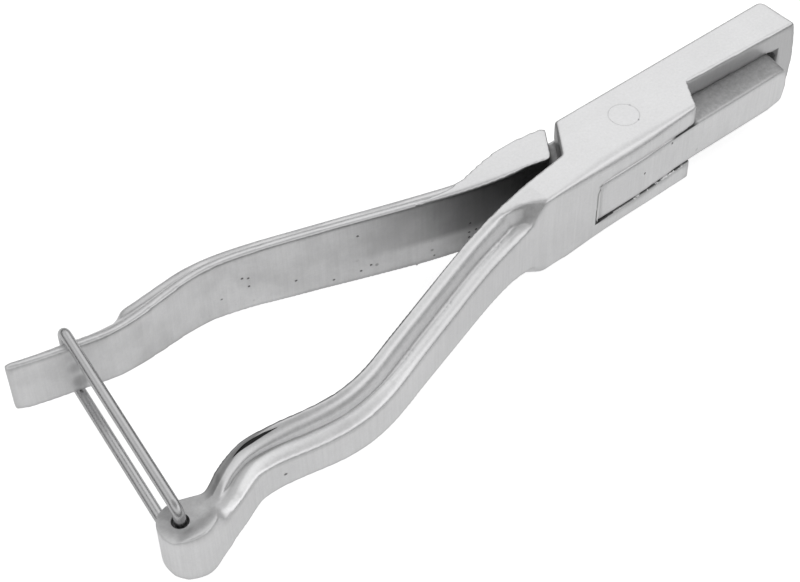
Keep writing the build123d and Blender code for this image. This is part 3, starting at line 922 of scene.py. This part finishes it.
def punch_lever_finish():
    """Ground outside, grey and grainy as cast on the punch's top and on the neck, with rows of pits."""
    material, tree, skin = ground_steel("lever_steel", CAST_ROUGH, **CAST_LINES)
    facing, (x, y, z) = split(tree, skin["normal"]), split(tree, skin["place"])
    level = ramp(tree, calc(tree, "ABSOLUTE", facing["Z"]), 0.55, 0.85)
    layer = both(tree, level, between(tree, x, -17.5, 53.5, 0.8), between(tree, y, -9.2, 9.0, 0.5))
    as_cast(tree, skin, layer, **LAYER_CAST)
    below_top = both(tree, before(tree, z, 20.0, 21.0), past(tree, y, -3.0, -1.0))
    as_cast(tree, skin, both(tree, below_top, between(tree, x, -32.0, -17.5, 0.8)), **NECK_CAST)
    # Painted shade in hollows, under and on edges, and in the window's joints.
    painted_hollow_and_edge_shade(tree, skin, stored(tree, "hollow"))
    seam_shade(tree, skin)
    rear_shade(tree, skin)
    inner_face_marks(tree, skin, fade(tree, facing["Y"], -0.8, -0.5))
    dots = dots_at(tree, skin["place"], PUNCH_LEVER_PITS, LEVER_PIT_RADIUS)
    dim(tree, skin, dots, LEVER_PIT_TONE)
    raise_skin(tree, skin, dots, -PIT_DEPTH)
    low = both(tree, before(tree, z, 4.0, 12.0), past(tree, x, -135.0, -80.0))
    scattered = both(tree, use(tree, pits, Place=skin["place"], Density=420.0, Amount=0.13), low)
    dim(tree, skin, scattered, SCATTERED_TONE)
    return close_steel(material, skin, STEEL)


# %% [markdown]
# ## Rivet and wire
# The rivet's end is ground together with the plate, so it has the same skin with nothing added. The latch is
# drawn wire: darker, and smoother than the castings.

# %% Rivet and wire
WIRE, WIRE_ROUGH = (0.5, 0.5, 0.505), 0.27


def plain_steel(name, colour, roughness):
    """The ground skin with nothing added."""
    material, _, skin = ground_steel(name, roughness, **PLAIN_LINES)
    return close_steel(material, skin, colour)


def dress(piece, material):
    """Gives a piece its finish."""
    slots = piece.data.materials
    slots.clear()
    slots.append(material)
    print(piece.name, "finish", material.name, len(material.node_tree.nodes), "nodes")


dress(castings["die_handle"], die_handle_finish())
dress(castings["punch_lever"], punch_lever_finish())
dress(frame["nodes"]["pivot_rivet"], plain_steel("rivet_steel", STEEL, CAST_ROUGH))
dress(frame["nodes"]["wire_latch"], plain_steel("wire_steel", WIRE, WIRE_ROUGH))

# %% [markdown]
# ## Floor and light
# A plain pale floor just under the tool, a pale sky, and two soft lamps above it, as for a catalogue picture.
# The floor looks white to the camera and to reflections through the light path, and keeps a faint shadow.

# %% Floor
FLOOR_HALF, FLOOR_GAP = 3.0, 0.2
FLOOR_COLOUR, FLOOR_ROUGHNESS, WHITE = (0.62, 0.62, 0.62, 1.0), 0.9, (1.0, 1.0, 1.0, 1.0)
FLOOR_TO_CAMERA, FLOOR_TO_REFLECTIONS = 0.75, 0.34

floor_mesh = bpy.data.meshes.new("floor")
floor_z = min(corner[2] for corner in cad_box) - FLOOR_GAP * MM
floor_sides = ((-1, -1), (1, -1), (1, 1), (-1, 1))
floor_corners = [(side_x * FLOOR_HALF, side_y * FLOOR_HALF, floor_z) for side_x, side_y in floor_sides]
floor_mesh.from_pydata(floor_corners, [], [(0, 1, 2, 3)])
floor = bpy.data.objects.new("floor", floor_mesh)
bpy.context.scene.collection.objects.link(floor)
paper = bpy.data.materials.new("floor_paper")
paper.use_nodes = True
floor_tree = paper.node_tree
floor_shader = floor_tree.nodes["Principled BSDF"]
floor_shader.inputs["Base Color"].default_value = FLOOR_COLOUR
floor_shader.inputs["Roughness"].default_value = FLOOR_ROUGHNESS
floor_shader.inputs["Emission Color"].default_value = WHITE
floor_rays = add_node(floor_tree, "ShaderNodeLightPath").outputs
seen = calc(floor_tree, "MULTIPLY", floor_rays["Is Camera Ray"], FLOOR_TO_CAMERA)
seen = calc(floor_tree, "MULTIPLY_ADD", floor_rays["Is Glossy Ray"], FLOOR_TO_REFLECTIONS, seen)
floor_tree.links.new(seen, floor_shader.inputs["Emission Strength"])
floor_mesh.materials.append(paper)
print("floor at", round(floor_z / MM, 2), "mm")

# %% [markdown]
# The sky is dim near the horizon and brightest halfway up, so that upright faces turn a middle grey and the
# rounded tops catch the light. The camera itself sees it white.

# %% Sky
HORIZON_GLOW, TOP_GLOW = 0.15, 0.45
world = bpy.data.worlds.new("sky")
bpy.context.scene.world = world
world.use_nodes = True
sky = world.node_tree
background = sky.nodes["Background"]
height = split(sky, add_node(sky, "ShaderNodeTexCoord").outputs["Generated"])["Z"]
glow = ramp(sky, height, 0.1, 0.65, HORIZON_GLOW, 1.0)
glow = calc(sky, "MULTIPLY", glow, ramp(sky, height, 0.68, 0.95, 1.0, TOP_GLOW))
rays = add_node(sky, "ShaderNodeLightPath")
strength = add_node(sky, "ShaderNodeMix", {"data_type": "FLOAT"})
sky.links.new(rays.outputs["Is Camera Ray"], strength.inputs["Factor"])
sky.links.new(glow, strength.inputs[2])
strength.inputs[3].default_value = 1.0
sky.links.new(strength.outputs[0], background.inputs["Strength"])
background.inputs["Color"].default_value = WHITE

# %% Lamps
LAMP_TARGET = (-0.05, 0.0, 0.01)


def soft_lamp(name, place, size, watts):
    """A square soft lamp at a place in metres, facing the tool."""
    data = bpy.data.lights.new(name, "AREA")
    data.shape, data.size, data.energy = "SQUARE", size, watts
    lamp = bpy.data.objects.new(name, data)
    bpy.context.scene.collection.objects.link(lamp)
    lamp.location = place
    lamp.rotation_euler = (Vector(LAMP_TARGET) - Vector(place)).to_track_quat("-Z", "Y").to_euler()
    print("lamp", name, watts, "W")


soft_lamp("key", (0.45, 0.4, 0.65), 0.9, 0.6)
soft_lamp("fill", (0.35, -0.45, 0.6), 0.6, 0.4)

# %% View settings
bpy.context.scene.view_settings.view_transform = "Standard"
